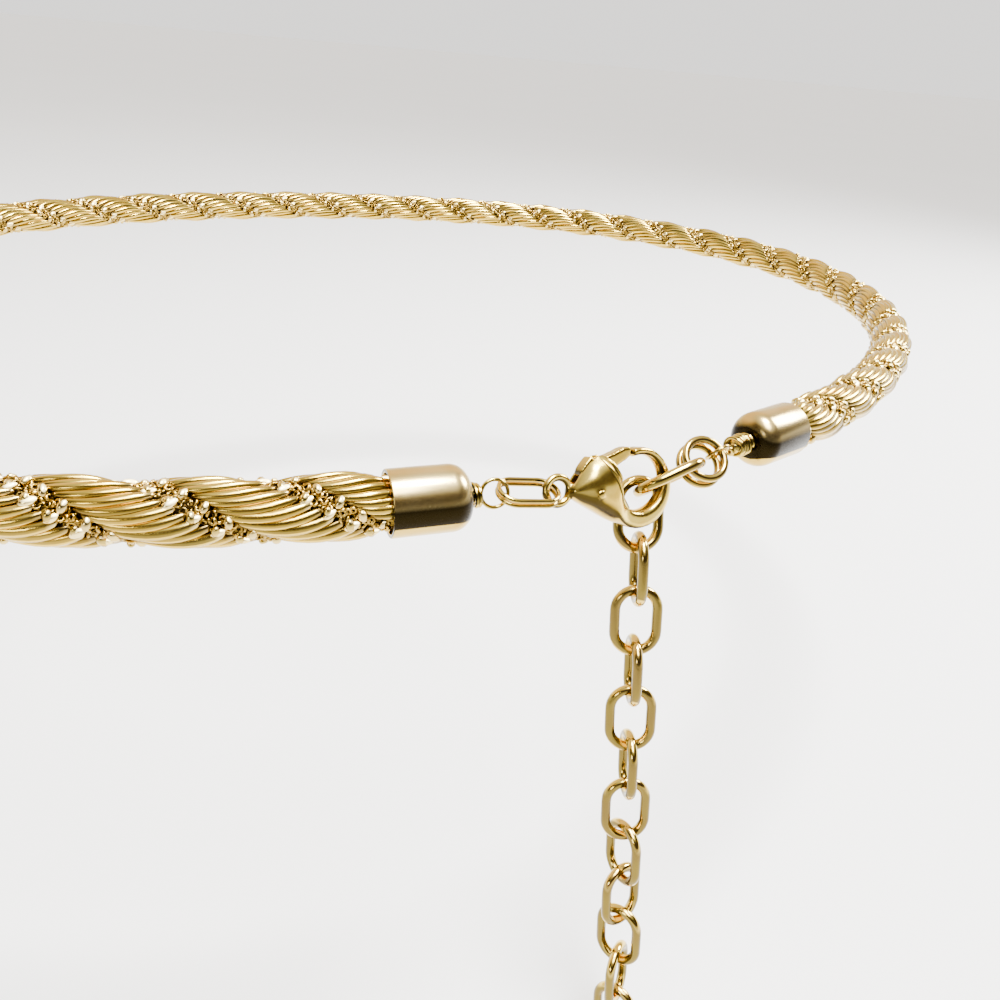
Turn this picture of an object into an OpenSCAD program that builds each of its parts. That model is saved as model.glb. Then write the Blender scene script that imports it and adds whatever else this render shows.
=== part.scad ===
// Waist chain: a twisted rope chain with end caps, a lobster clasp and an extender.
// Millimetres. The origin is the middle of the loop, z = 0 is the plane of the rope.
// The clasp is at the back of the loop, at -Y, and the extender hangs down from it.

/* [Loop] */
// Half of the loop's width, to the middle of the rope
loop_half_w = 126; // [110:1:150]
// Half of the loop's depth, to the middle of the rope
loop_half_d = 96; // [84:1:115]
// From the middle plane to the middle of each end cap
cap_mid_x = 27.8; // [27.4:0.1:30]

/* [Rope] */
// Outer diameter of the rope, across both strands
rope_d = 8; // [7:0.1:8.8]
// Diameter of the rope in the grooves between the strands
groove_d = 6.2; // [5:0.1:6.8]
// Turns of the strands around the whole loop
rope_turns = 25; // [18:1:32]
// How far the rope reaches into each end cap
rope_in_cap = 6; // [4:0.5:7]
// Room between the rope's end and the inside of the cap
rope_fit = 0.2; // [0.1:0.05:0.4]

/* [End caps] */
// Outer diameter of an end cap
cap_d = 8.3; // [8:0.1:9.4]
// Length of an end cap
cap_len = 10; // [9:0.5:12]
// Wall of an end cap
cap_wall = 0.5; // [0.3:0.05:0.8]
// Radius of the rounded closed end
cap_round = 2.5; // [1.5:0.1:3.4]

/* [Eye wires] */
// Outer diameter of the eye beyond each cap
eye_od = 4; // [3.9:0.05:4.2]
// Wire of the eye and of its wraps
eye_wire = 0.5; // [0.45:0.05:0.55]
// Outer diameter of the wraps
wrap_d = 3.3; // [2.6:0.1:3.5]
// Wraps between the left cap and its eye
wraps_left = 2; // [1:1:3]
// Wraps between the right cap and its eye
wraps_right = 5; // [3:1:5]
// Distance from one wrap to the next
wrap_pitch = 0.72; // [0.6:0.02:0.8]
// Distance from the right cap to the near side of its eye
eye_stand = 5.1; // [5:0.05:5.2]
// Stem inside the wraps
stem_d = 1.1; // [0.8:0.05:1.4]
// Room around the stem in the cap's end hole
stem_fit = 0.15; // [0.1:0.05:0.3]
// Diameter of the stem's head inside the cap
stem_head_d = 2.8; // [2:0.1:3.4]

/* [Oval links] */
// Length of each oval link, over the wire
oval_len = 8.6; // [8.4:0.1:9]
// Width of each oval link, over the wire
oval_w = 4.8; // [4.4:0.1:5.2]
// Wire of the oval links
oval_wire = 0.6; // [0.5:0.05:0.65]
// Distance between the two oval links, middle to middle
oval_step = 0.75; // [0.7:0.05:0.8]

/* [Clasp] */
// Length of the clasp, over tail ring and hook
clasp_len = 20.3; // [20:0.1:20.6]
// Width of the clasp, over the thumb rest and the hook
clasp_w = 11; // [10.8:0.05:11.2]
// Outer diameter of the hook
hook_d = 10.7; // [10.5:0.05:10.9]
// Diameter of the hook's opening
hook_eye_d = 7.6; // [7.4:0.05:7.8]
// Thickness of the hook where it leaves the body
hook_t = 3.2; // [2.8:0.1:3.4]
// Thickness of the hook at its far side
hook_far_t = 1.8; // [1.4:0.1:2.4]
// Thickness of the body at its middle
body_t = 4.2; // [3.8:0.1:5]
// Radius of the crown on both faces of the body
crown_r = 10; // [9:0.5:14]
// Outer diameter of the tail ring
tail_od = 4.5; // [4.4:0.05:4.6]
// Wire of the tail ring
tail_wire = 0.95; // [0.8:0.05:1]
// Thickness of the lever
lever_t = 1.7; // [1.4:0.1:2]
// Room on each side of the lever in its slot
lever_fit = 0.12; // [0.08:0.01:0.2]
// Diameter of the lever's pin
pin_d = 0.9; // [0.7:0.05:1.1]
// Room around the pin in the lever
pin_fit = 0.05; // [0.02:0.01:0.08]
// Radius of the lever around its pin
boss_r = 1.5; // [1.2:0.05:1.6]
// Height of the double rim and the pin's ends above the faces
rim_h = 0.15; // [0.1:0.05:0.3]
// Gap between the lever's tip and the hook's nose
nose_gap = 0.2; // [0.15:0.05:0.4]

/* [Jump rings] */
// Outer diameter of each jump ring
ring_od = 7; // [6.9:0.05:7.1]
// Wire of the jump rings
ring_wire = 1.1; // [0.9:0.05:1.15]
// Distance between the two jump rings, middle to middle
ring_step = 1.25; // [1.2:0.05:1.35]

/* [Extender links] */
// Length of a link, over the wire
link_len = 11; // [10.5:0.1:11.2]
// Width of a link, over the wire
link_w = 7.6; // [7.2:0.1:8.2]
// Wire of a link
link_wire = 1.5; // [1.3:0.05:1.55]
// Gap where one hanging link meets the next
link_gap = 0.15; // [0.1:0.05:0.3]

/* [Hidden] */
$fn = 48;

// Where the loose pieces lie, measured from the rope's line at the back of the loop.
back = [0, -loop_half_d, 0];
clasp_at = back + [2.35, -0.25, -2.15];
clasp_lean = 70;
ring_at = back + [13.2, -0.04, -0.6];
ring_turn = [41, 0, -11.5];
ring_slip = [-0.3, 0, -0.4];
// Links 1 and 2: [middle, roll about the long axis, rise, heading]
first_at = [back + [7.7, 0.2, -2.4], 41, -22.2, 169.5];
second_at = [back + [3.5, 0.35, -7.5], -8, -63.3, -112.5];
// Links 3 to 13 hang in one line from here, each with its own roll
hang_at = back + [2.9, -2.4, -14.8];
hang_heading = -102.3;
hang_rise = -75.8;
hang_roll = [105, 15, 105, 17, 103, 12, 76, -18, 50, -44, 50];
eye_roll_left = 73;
eye_roll_right = 52;
oval_roll = 12;
oval_slip = [0.12, -0.19, 0];
oval_skew = [-1.6, -3.5];

// The loop's line: an ellipse, t = 0 at the back, t = 180 at the front
function loop_at(t) = [loop_half_w * sin(t), -loop_half_d * cos(t), 0];
function along(t) = let (v = [loop_half_w * cos(t), loop_half_d * sin(t), 0]) v / norm(v);
function outward(t) = let (v = along(t)) [v.y, -v.x, 0];
arc_steps = 720;
arc = [for (i = 0, s = 0; i <= arc_steps; s = s + norm(loop_at((i + 1) * 180 / arc_steps)
      - loop_at(i * 180 / arc_steps)), i = i + 1) [s, i * 180 / arc_steps]];
half_len = arc[arc_steps][0];
function t_at(s) = sign(s) * lookup(abs(s), arc);

// End caps: the closed faces point at the clasp
cap_t = asin(cap_mid_x / loop_half_w);
cap_turn = atan2(along(cap_t).y, along(cap_t).x);
cap_face = loop_at(cap_t) - along(cap_t) * cap_len / 2;
cap_s = lookup(cap_t, [for (p = arc) [p[1], p[0]]]);
cap_hole_d = stem_d + 2 * stem_fit;
function side_at(side) = [side * cap_face.x, cap_face.y, 0];
function side_turn(side) = side > 0 ? 180 + cap_turn : -cap_turn;

// Eye wires
function stand(side, wraps) = side > 0 ? eye_stand : wraps * wrap_pitch + 0.1;
function eye_reach(side, wraps) = stand(side, wraps) + (eye_od - eye_wire) / 2;
function eye_at(side, wraps) = side_at(side)
    + [-side * cos(cap_turn), -sin(cap_turn), 0] * eye_reach(side, wraps);

// Rope
strand_pitch = 2 * half_len / rope_turns;
mouth_s = cap_s + cap_len / 2;
rope_end_s = mouth_s - rope_in_cap;
neck = (cap_d / 2 - cap_wall - rope_fit) / (rope_d / 2);
rope_rings = 150;
split_gap = 0.1;
function ease(x) = let (k = max(0, min(1, x))) k * k * (3 - 2 * k);
function rope_k(s) = neck + (1 - neck) * ease((abs(s) - mouth_s + 0.4) / 2.4);
function lobe(a) = groove_d / 2 + (rope_d - groove_d) / 2 * pow(cos(a), 2);
function rope_ring(s) = let (t = t_at(s), k = rope_k(s), tw = 360 * s / strand_pitch)
    [for (i = [0:11]) let (a = 30 * i, r = k * lobe(a))
        loop_at(t) + outward(t) * r * cos(a + tw) - [0, 0, 1] * r * sin(a + tw)];
rope_from = mouth_s + 2.2;
rope_to = half_len - split_gap / 2;
rope_s = concat([rope_end_s, mouth_s - 0.4, mouth_s + 0.5, mouth_s + 1.3],
    [for (i = [0:rope_rings]) rope_from + (rope_to - rope_from) * i / rope_rings]);

module rope_half(side) {
    n = len(rope_s);
    s = side > 0 ? rope_s : [for (i = [n - 1:-1:0]) -rope_s[i]];
    polyhedron(
        points = [for (v = s, p = rope_ring(v)) p],
        faces = concat(
            [[for (i = [0:11]) i]],
            [for (j = [0:n - 2], i = [0:11]) let (a = 12 * j, b = (i + 1) % 12)
                [a + i, a + 12 + i, a + 12 + b]],
            [for (j = [0:n - 2], i = [0:11]) let (a = 12 * j, b = (i + 1) % 12)
                [a + i, a + 12 + b, a + b]],
            [[for (i = [11:-1:0]) 12 * (n - 1) + i]]),
        convexity = 8);
}

module torus(od, wire) {
    rotate_extrude() translate([(od - wire) / 2, 0]) circle(d = wire, $fn = 32);
}

// Stadium-shaped link in the XY plane, long axis X
module link_shape(len, width, wire) {
    r = (width - wire) / 2;
    h = (len - width) / 2;
    for (k = [0, 180]) rotate(k) {
        translate([h, 0, 0]) rotate(-90)
            rotate_extrude(angle = 180) translate([r, 0]) circle(d = wire, $fn = 32);
        translate([-h, -r, 0]) rotate([0, 90, 0]) cylinder(d = wire, h = 2 * h, $fn = 32);
    }
}

module placed(at, roll, rise, heading) {
    translate(at) rotate([roll, -rise, heading]) children();
}

module rope_left() {
    color("darkkhaki") rope_half(-1);
}

module rope_right() {
    color("khaki") rope_half(1);
}

// Cup with a rounded closed end, the closed face at z = 0
module cap_profile(r, len, round_r) {
    intersection() {
        square([r, len]);
        union() {
            translate([0, round_r]) square([r, len]);
            square([r - round_r, len]);
            translate([r - round_r, round_r]) circle(r = round_r);
        }
    }
}

module end_cap(side) {
    translate(side_at(side)) rotate(side_turn(side)) rotate([0, -90, 0])
        rotate_extrude() difference() {
            cap_profile(cap_d / 2, cap_len, cap_round);
            translate([0, cap_wall])
                cap_profile(cap_d / 2 - cap_wall, cap_len, cap_round - cap_wall);
            square([cap_hole_d / 2, 2 * cap_wall + 0.1]);
        }
}

module end_cap_left() {
    color("gold") end_cap(-1);
}

module end_cap_right() {
    color("gold") end_cap(1);
}

module eye_wire(side, wraps, roll) {
    coil = wraps * wrap_pitch;
    translate(side_at(side)) rotate(side_turn(side)) {
        translate([eye_reach(side, wraps), 0, 0]) rotate([roll, 0, 0]) torus(eye_od, eye_wire);
        rotate([0, 90, 0]) {
            translate([0, 0, -cap_wall - 0.9]) cylinder(d = stem_d, h = coil + cap_wall + 0.9);
            translate([0, 0, -cap_wall - 0.9]) cylinder(d = stem_head_d, h = 0.8);
            translate([0, 0, 0.3]) cylinder(d = wrap_d - 2 * eye_wire + 0.2, h = coil - 0.4);
            cylinder(d = eye_wire + 0.1, h = stand(side, wraps));
            for (i = [0:wraps - 1])
                translate([0, 0, 0.1 + (i + 0.5) * wrap_pitch]) torus(wrap_d, eye_wire);
        }
    }
}

module eye_wire_left() {
    color("goldenrod") eye_wire(-1, wraps_left, eye_roll_left);
}

module eye_wire_right() {
    color("goldenrod") eye_wire(1, wraps_right, eye_roll_right);
}

// Clasp, drawn with X from tail to hook, Y up and Z out of its face. The outlines are
// shares of the clasp's length and of the clasp's width.
function in_clasp(list) = [for (p = list) [p.x * clasp_len, p.y * clasp_w]];
hook_mid = [-0.042, -0.032];
eye_mid = [-0.027, 0.027];
hook_root_x = -0.271;
hook_far_x = 0.221;
pin_mid = [-0.409, 0.018];
tail_mid = [-0.65, 0.118];
crown_mid = [-0.345, 0.073];
nose_x = -0.081;
tip_x = nose_x - nose_gap / clasp_len - 0.003;
body_line = [[-0.559, 0.018], [-0.429, -0.164], [-0.305, -0.327], [-0.187, -0.445],
             [-0.138, -0.427], [-0.163, -0.245], [-0.212, -0.036], [-0.229, 0.073],
             [-0.271, 0.236], [-0.32, 0.418], [-0.365, 0.432], [-0.409, 0.4],
             [-0.473, 0.309], [-0.527, 0.209], [-0.557, 0.145]];
lever_line = [[-0.458, 0.109], [-0.476, 0.209], [-0.493, 0.273], [-0.475, 0.336],
              [-0.438, 0.405], [-0.401, 0.45], [-0.38, 0.409], [-0.345, 0.391],
              [-0.305, 0.414], [-0.207, 0.455], [-0.14, 0.487], [tip_x, 0.477],
              [tip_x, 0.405], [-0.135, 0.345], [-0.182, 0.314], [-0.261, 0.227],
              [-0.31, 0.109], [-0.34, 0], [-0.374, -0.05], [-0.43, -0.03]];
slot_line = [[-0.478, 0.091], [-0.601, 0.223], [-0.601, 0.7], [-0.1, 0.7], [-0.1, 0.3],
             [-0.251, 0.2], [-0.328, -0.009]];
mouth_line = [[-0.228, 0.073], [-0.271, 0.236], [-0.32, 0.427], [-0.34, 0.7], [nose_x, 0.7],
              [nose_x, 0.227], [-0.099, 0.091]];
rim_line = [[-0.335, 0.45], [-0.291, 0.3], [-0.251, 0.136], [-0.222, -0.018],
            [-0.18, -0.155], [-0.131, -0.273]];
rim_w = 0.4;
rim_step = 0.85;

function pick(list, i) = list[(i + len(list)) % len(list)];
function blend(a, b, c, d, k) = b + k * (c - a) / 2 + k * k * (2 * a - 5 * b + 4 * c - d) / 2
    + k * k * k * (3 * b - a - 3 * c + d) / 2;
function smooth(list, n) = [for (i = [0:len(list) - 1], j = [0:n - 1])
    blend(pick(list, i - 1), list[i], pick(list, i + 1), pick(list, i + 2), j / n)];
function in_share(p) = [p.x * clasp_len, p.y * clasp_w];

module in_clasp_frame() {
    translate(clasp_at) rotate([clasp_lean, 0, 0]) children();
}

module crown(extra) {
    lift = crown_r - body_t / 2;
    translate(in_share(crown_mid)) intersection() {
        translate([0, 0, -lift]) sphere(r = crown_r + extra, $fn = 96);
        translate([0, 0, lift]) sphere(r = crown_r + extra, $fn = 96);
    }
}

module slab(half) {
    translate([0, 0, -half]) linear_extrude(2 * half) children();
}

module hook_blank(extra) {
    a = hook_root_x * clasp_len;
    b = hook_far_x * clasp_len;
    slope = (hook_t - hook_far_t) / 2 / (b - a);
    h = [for (x = [a - 3, b + 2]) hook_t / 2 + extra - slope * (x - a)];
    intersection() {
        slab(hook_t) translate(in_share(hook_mid)) circle(d = hook_d + 2 * extra, $fn = 96);
        translate(in_share(hook_mid)) sphere(r = hook_d / 2 + 0.12 + extra, $fn = 96);
        rotate([90, 0, 0]) slab(clasp_w)
            polygon([[a - 3, h[0]], [b + 2, h[1]], [b + 2, -h[1]], [a - 3, -h[0]]]);
    }
}

// The hook's opening, wider towards both faces
module hook_opening() {
    flare = 2.6;
    translate(in_share(eye_mid)) rotate_extrude($fn = 96)
        difference() {
            translate([0, -3]) square([hook_eye_d / 2 + flare, 6]);
            translate([hook_eye_d / 2 + flare, 0]) circle(r = flare, $fn = 64);
            translate([hook_eye_d / 2 + 0.6, -3]) square([flare, 6]);
        }
}

// Strip along the rim line, from one multiple of the rim step to another
module rim_band(from, to) {
    n = len(rim_line);
    polygon(concat(
        [for (i = [0:n - 1]) in_share(rim_line[i]) + [from * rim_step - rim_w / 2, 0]],
        [for (i = [n - 1:-1:0]) in_share(rim_line[i]) + [to * rim_step + rim_w / 2, 0]]));
}

module rims() {
    for (k = [-0.5, 0.5]) rim_band(k, k);
}

module clasp_body() {
    color("goldenrod") in_clasp_frame() {
        difference() {
            union() {
                difference() {
                    hook_blank(0);
                    slab(4) polygon(in_clasp(mouth_line));
                }
                intersection() {
                    slab(4) {
                        polygon(smooth(in_clasp(body_line), 3));
                        rim_band(-0.5, 0.5);
                    }
                    crown(0);
                }
                intersection() {
                    slab(4) rims();
                    union() {
                        crown(rim_h);
                        hook_blank(rim_h);
                    }
                }
            }
            hook_opening();
            slab(lever_t / 2 + lever_fit) {
                polygon(in_clasp(slot_line));
                translate(in_share(pin_mid)) circle(r = boss_r + 0.15);
            }
        }
        translate(in_share(pin_mid)) cylinder(d = pin_d, h = body_t + rim_h / 2, center = true);
        translate(in_share(tail_mid)) torus(tail_od, tail_wire);
    }
}

module clasp_lever() {
    color("lightgoldenrodyellow") in_clasp_frame() difference() {
        union() {
            slab(lever_t / 2) polygon(smooth(in_clasp(lever_line), 3));
            translate(in_share(pin_mid)) cylinder(r = boss_r, h = lever_t, center = true);
        }
        translate(in_share(pin_mid)) cylinder(d = pin_d + 2 * pin_fit, h = 6, center = true);
    }
}

// Doubled oval link from the left eye to the tail ring
tail_at = clasp_at + [in_share(tail_mid).x, in_share(tail_mid).y * cos(clasp_lean),
                      in_share(tail_mid).y * sin(clasp_lean)];
oval_reach = tail_at - eye_at(-1, wraps_left);
oval_mid = eye_at(-1, wraps_left) + oval_reach / 2 + oval_slip;
oval_heading = atan2(oval_reach.y, oval_reach.x) + oval_skew.y;
oval_rise = asin(oval_reach.z / norm(oval_reach)) + oval_skew.x;

module oval_link(k) {
    color("gold") placed(oval_mid, oval_roll, oval_rise, oval_heading)
        translate([0, 0, k * oval_step / 2]) link_shape(oval_len, oval_w, oval_wire);
}

module oval_link_a() {
    oval_link(1);
}

module oval_link_b() {
    oval_link(-1);
}

module ring_a() {
    color("gold") translate(ring_at) rotate(ring_turn)
        translate([0, 0, ring_step / 2]) torus(ring_od, ring_wire);
}

module ring_b() {
    color("goldenrod") translate(ring_at + ring_slip) rotate(ring_turn)
        translate([0, 0, -ring_step / 2]) torus(ring_od, ring_wire);
}

// Extender links
link_pitch = link_len - 2 * link_wire - link_gap;
hang_dir = [cos(hang_rise) * cos(hang_heading), cos(hang_rise) * sin(hang_heading),
            sin(hang_rise)];

module extender_link(at, roll, rise, heading) {
    color("gold") placed(at, roll, rise, heading) link_shape(link_len, link_w, link_wire);
}

module hanging(n) {
    extender_link(hang_at + hang_dir * link_pitch * (n - 3), hang_roll[n - 3],
        hang_rise, hang_heading);
}

module link_01() { extender_link(first_at[0], first_at[1], first_at[2], first_at[3]); }
module link_02() { extender_link(second_at[0], second_at[1], second_at[2], second_at[3]); }
module link_03() { hanging(3); }
module link_04() { hanging(4); }
module link_05() { hanging(5); }
module link_06() { hanging(6); }
module link_07() { hanging(7); }
module link_08() { hanging(8); }
module link_09() { hanging(9); }
module link_10() { hanging(10); }
module link_11() { hanging(11); }
module link_12() { hanging(12); }
module link_13() { hanging(13); }

rope_left();
rope_right();
end_cap_left();
end_cap_right();
eye_wire_left();
eye_wire_right();
oval_link_a();
oval_link_b();
clasp_body();
clasp_lever();
ring_a();
ring_b();
link_01();
link_02();
link_03();
link_04();
link_05();
link_06();
link_07();
link_08();
link_09();
link_10();
link_11();
link_12();
link_13();
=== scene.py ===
import math

import bmesh
import bpy
from mathutils import Euler, Matrix, Vector
from mathutils.bvhtree import BVHTree


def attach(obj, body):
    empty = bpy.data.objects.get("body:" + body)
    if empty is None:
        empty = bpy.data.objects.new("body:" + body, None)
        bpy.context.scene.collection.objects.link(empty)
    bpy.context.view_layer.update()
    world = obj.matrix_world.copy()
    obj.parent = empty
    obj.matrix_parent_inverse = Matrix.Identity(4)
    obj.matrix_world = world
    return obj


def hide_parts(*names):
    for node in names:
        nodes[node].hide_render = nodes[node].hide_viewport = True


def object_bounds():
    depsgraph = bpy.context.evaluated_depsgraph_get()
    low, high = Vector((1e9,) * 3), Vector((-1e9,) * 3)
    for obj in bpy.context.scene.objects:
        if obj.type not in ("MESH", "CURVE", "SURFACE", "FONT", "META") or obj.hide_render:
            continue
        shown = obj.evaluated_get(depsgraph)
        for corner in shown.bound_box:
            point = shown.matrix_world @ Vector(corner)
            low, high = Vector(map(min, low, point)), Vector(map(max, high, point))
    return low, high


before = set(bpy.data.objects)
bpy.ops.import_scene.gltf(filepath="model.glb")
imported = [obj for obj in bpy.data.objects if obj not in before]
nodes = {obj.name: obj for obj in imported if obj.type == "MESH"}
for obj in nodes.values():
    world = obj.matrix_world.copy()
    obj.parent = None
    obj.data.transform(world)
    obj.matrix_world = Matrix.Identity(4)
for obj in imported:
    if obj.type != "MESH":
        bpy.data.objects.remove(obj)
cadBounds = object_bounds()
scene = bpy.context.scene
mm = 0.001


def metres(point):
    return Vector(point) * mm


# Camera at the photograph's viewing angle

view = {"place": (-63.357, -168.96, 46.832), "right": (0.875, -0.4779, 0.0769),
        "up": (0.1744, 0.4595, 0.8709), "lens": 28.8, "sensor": 36, "nearest": 0.005}

rightwards = Vector(view["right"]).normalized()
backwards = Vector(view["right"]).cross(Vector(view["up"])).normalized()
upwards = backwards.cross(rightwards)
camera = bpy.data.objects.new("camera", bpy.data.cameras.new("camera"))
camera.data.lens = view["lens"]
camera.data.sensor_width = view["sensor"]
camera.data.clip_start = view["nearest"]
camera.matrix_world = Matrix.Translation(metres(view["place"])) @ Matrix(
    (rightwards, upwards, backwards)).transposed().to_4x4()
scene.collection.objects.link(camera)
scene.camera = camera
print("camera done")


# Node trees: a socket that takes part in sums, and one way to add any other node

class Term:
    def __init__(self, graph, socket):
        self.graph, self.socket = graph, socket

    def math(self, operation, *others):
        return self.graph.math(operation, self, *others)

    def __add__(self, other):
        return self.math("ADD", other)

    def __radd__(self, other):
        return self.graph.math("ADD", other, self)

    def __sub__(self, other):
        return self.math("SUBTRACT", other)

    def __rsub__(self, other):
        return self.graph.math("SUBTRACT", other, self)

    def __mul__(self, other):
        return self.math("MULTIPLY", other)

    def __rmul__(self, other):
        return self.graph.math("MULTIPLY", other, self)

    def __truediv__(self, other):
        return self.math("DIVIDE", other)

    def __rtruediv__(self, other):
        return self.graph.math("DIVIDE", other, self)

    def __neg__(self):
        return self.graph.math("MULTIPLY", self, -1.0)

    def ramp(self, low, high):
        return self.graph.add("ShaderNodeMapRange", {"interpolation_type": "SMOOTHSTEP"},
                              {"Value": self, "From Min": low, "From Max": high})[0]

    def towards(self, direction):
        return self.graph.add("ShaderNodeVectorMath", {"operation": "DOT_PRODUCT"},
                              {0: self, 1: direction})["Value"]


class Graph:
    def __init__(self, tree):
        self.tree = tree

    def add(self, kind, settings=None, sockets=None):
        node = self.tree.nodes.new(kind)
        for name, value in (settings or {}).items():
            setattr(node, name, value)
        for name, value in (sockets or {}).items():
            socket = node.inputs[name]
            if isinstance(value, Term):
                self.tree.links.new(value.socket, socket)
            else:
                socket.default_value = value
        return Outputs(self, node)

    def math(self, operation, *values):
        return self.add("ShaderNodeMath", {"operation": operation}, dict(enumerate(values)))[0]

    def vector(self, operation, first, second):
        return self.add("ShaderNodeVectorMath", {"operation": operation},
                        {0: first, 1: second})[0]

    def point(self, x=0.0, y=0.0, z=0.0):
        return self.add("ShaderNodeCombineXYZ", None, {"X": x, "Y": y, "Z": z})[0]

    def attribute(self, name):
        return self.add("ShaderNodeAttribute", {"attribute_name": name})["Fac"]

    def mix(self, share, first, second):
        ends = [(*end, 1) if isinstance(end, tuple) else end for end in (first, second)]
        return self.add("ShaderNodeMix", {"data_type": "RGBA"},
                        {0: share, 6: ends[0], 7: ends[1]})[2]


class Outputs:
    def __init__(self, graph, node):
        self.graph, self.node = graph, node

    def __getitem__(self, name):
        return Term(self.graph, self.node.outputs[name])


def emptyMaterial(name):
    material = bpy.data.materials.new(name)
    material.use_nodes = True
    material.node_tree.nodes.clear()
    return material, Graph(material.node_tree)


# Metals: pale gold, with painted shade where a surface turns down: a brown band of painted dark
# reflection, and below it a painted darker gold that is still brighter again than the band. The
# rope's pieces also get painted shade by how deep they lie, and a painted highlight by how near a
# point is to a wire's tip

def metal(name, look):
    material, graph = emptyMaterial(name)
    place = graph.add("ShaderNodeTexCoord")["Object"]
    normal = graph.add("ShaderNodeNewGeometry")["Normal"]
    facing = normal.towards(look["up"])
    grain = graph.add("ShaderNodeTexNoise", None, {
        "Vector": place, "Scale": look["grainScale"], "Detail": 4.0, "Roughness": 0.6})["Fac"]
    cloud = graph.add("ShaderNodeTexNoise", None, {
        "Vector": place, "Scale": look["cloudScale"], "Detail": 2.0})["Fac"]
    wave = (cloud - 0.5) * look["bandWave"]
    # Painted dark reflection: a brown band where the surface turns down, its edge made uneven by
    # the cloud noise
    band = (facing + wave).ramp(look["bandTop"], look["bandFull"]) * (
        facing + wave * 0.4).ramp(look["bandEnd"], look["bandLow"])
    colour = graph.mix(cloud.ramp(0.35, 0.7), look["pale"], look["warm"])
    # Painted shade: surfaces that face down take on the darker under gold
    colour = graph.mix(facing.ramp(-0.08, -0.4) * look["underShare"], colour, look["under"])
    colour = graph.mix(band * look["band"], colour, look["shade"])
    if "deep" in look:
        # Painted shade in the rope's recesses: the deeper a point lies, the darker it turns
        depth = graph.attribute("deep").ramp(look["deepFrom"], look["deepTo"])
        # Painted highlight: points marked near a wire's tip, or on a bead's upper side, turn pale,
        # less so in later lanes
        paintedHighlight = graph.attribute("tip") * (
            1.0 - graph.attribute("lane") * look["laneLoss"]) * look["tip"]
        colour = graph.mix(graph.attribute("tint") * look["tint"], colour, look["warm"])
        colour = graph.mix(depth, colour, look["deep"])
        colour = graph.mix(paintedHighlight, colour, look["tipColour"])
    bump = graph.add("ShaderNodeBump", None, {
        "Height": grain + cloud * 0.3, "Strength": look["bump"], "Distance": look["relief"] * mm})
    sockets = {
        "Base Color": colour, "Metallic": 1.0, "Normal": bump["Normal"], "Roughness":
        look["rough"] + (grain - 0.5) * look["roughSpread"] + band * look["bandRough"]}
    # Painted glint: where a marked point faces a fixed direction it glows, though it is no lamp
    if "glint" in look:
        lit = normal.towards(look["glintSide"]).ramp(look["glintFrom"], look["glintTo"])
        sockets["Emission Color"] = graph.mix(paintedHighlight * lit, (0, 0, 0), look["glintColour"])
        sockets["Emission Strength"] = look["glint"]
    surface = graph.add("ShaderNodeBsdfPrincipled", None, sockets)
    graph.add("ShaderNodeOutputMaterial", None, {"Surface": surface["BSDF"]})
    return material


# The shade colour and the band's limits and share paint the dark reflection; the under colour and
# its share paint the shade underneath
polished = {"pale": (0.86, 0.62, 0.12), "warm": (0.74, 0.48, 0.06), "shade": (0.014, 0.009, 0.002),
            "under": (0.52, 0.33, 0.04), "underShare": 0.85, "up": (0, 0, 1),
            "grainScale": 2600.0, "cloudScale": 160.0, "bandTop": 0.7, "bandFull": 0.3,
            "bandLow": -0.18, "bandEnd": -0.28, "bandWave": 0.1, "band": 0.985, "bandRough": 0.05,
            "rough": 0.16, "roughSpread": 0.08, "bump": 0.08, "relief": 0.04}
smooth = {**polished, "bump": 0.04, "bandWave": 0.04}
# The strand metals also paint a highlight near the wires' tips, weaker in the later lanes
strand = {**polished, "band": 0.7, "tip": 0.8, "tipColour": (0.95, 0.74, 0.3), "laneLoss": 0.75}
sparkling = {**strand, "under": (0.36, 0.22, 0.03), "deepTo": 1.0,
             "glintColour": (1.0, 0.84, 0.42), "glintSide": (0.2, -0.5, 0.84)}
metals = {name: metal(name + "Gold", look) for name, look in {
    "ropeRib": {**strand, "deep": (0.12, 0.07, 0.015), "deepFrom": 0.14, "deepTo": 0.6,
                "tint": 0.35, "rough": 0.2, "band": 0.86, "bandTop": 0.6},
    "ropeEnd": {**sparkling, "deep": (0.3, 0.18, 0.04), "deepFrom": 0.4, "tint": 0.25,
                "tip": 0.4, "glint": 18.0, "glintFrom": 0.84, "glintTo": 0.98},
    "ropeTip": {**sparkling, "deep": (0.2, 0.12, 0.03), "deepFrom": 0.6, "tint": 0.2,
                "tip": 0.9, "glint": 13.0, "glintFrom": 0.68, "glintTo": 0.94},
    "ropeGrain": {**strand, "pale": (0.84, 0.57, 0.13), "warm": (0.66, 0.4, 0.05),
                  "shade": (0.1, 0.05, 0.008), "deep": (0.03, 0.015, 0.003),
                  "deepFrom": 0.22, "deepTo": 0.85, "tint": 0.7, "rough": 0.24},
    # The core's dark brown is painted shade, seen in the gaps between the wires
    "ropeCore": {**polished, "pale": (0.16, 0.09, 0.02), "warm": (0.1, 0.05, 0.01),
                 "rough": 0.6},
    "cap": {**smooth, "pale": (0.84, 0.63, 0.25), "warm": (0.76, 0.52, 0.15),
            "shade": (0.006, 0.004, 0.001), "rough": 0.22, "band": 0.996, "bandTop": 0.68,
            "bandFull": 0.2, "bandLow": -0.3, "bandEnd": -0.36},
    # On the clasp the painted band and the painted underside shade follow a tilted up direction
    "clasp": {**smooth, "up": (0.42, -0.12, 0.9), "rough": 0.2, "band": 0.97,
              "bandTop": 0.48, "bandFull": -0.1, "bandLow": -0.52, "bandEnd": -0.66},
    "wire": {**polished, "warm": (0.74, 0.5, 0.13), "rough": 0.14, "band": 0.85},
}.items()}
print("metals done")


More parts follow.
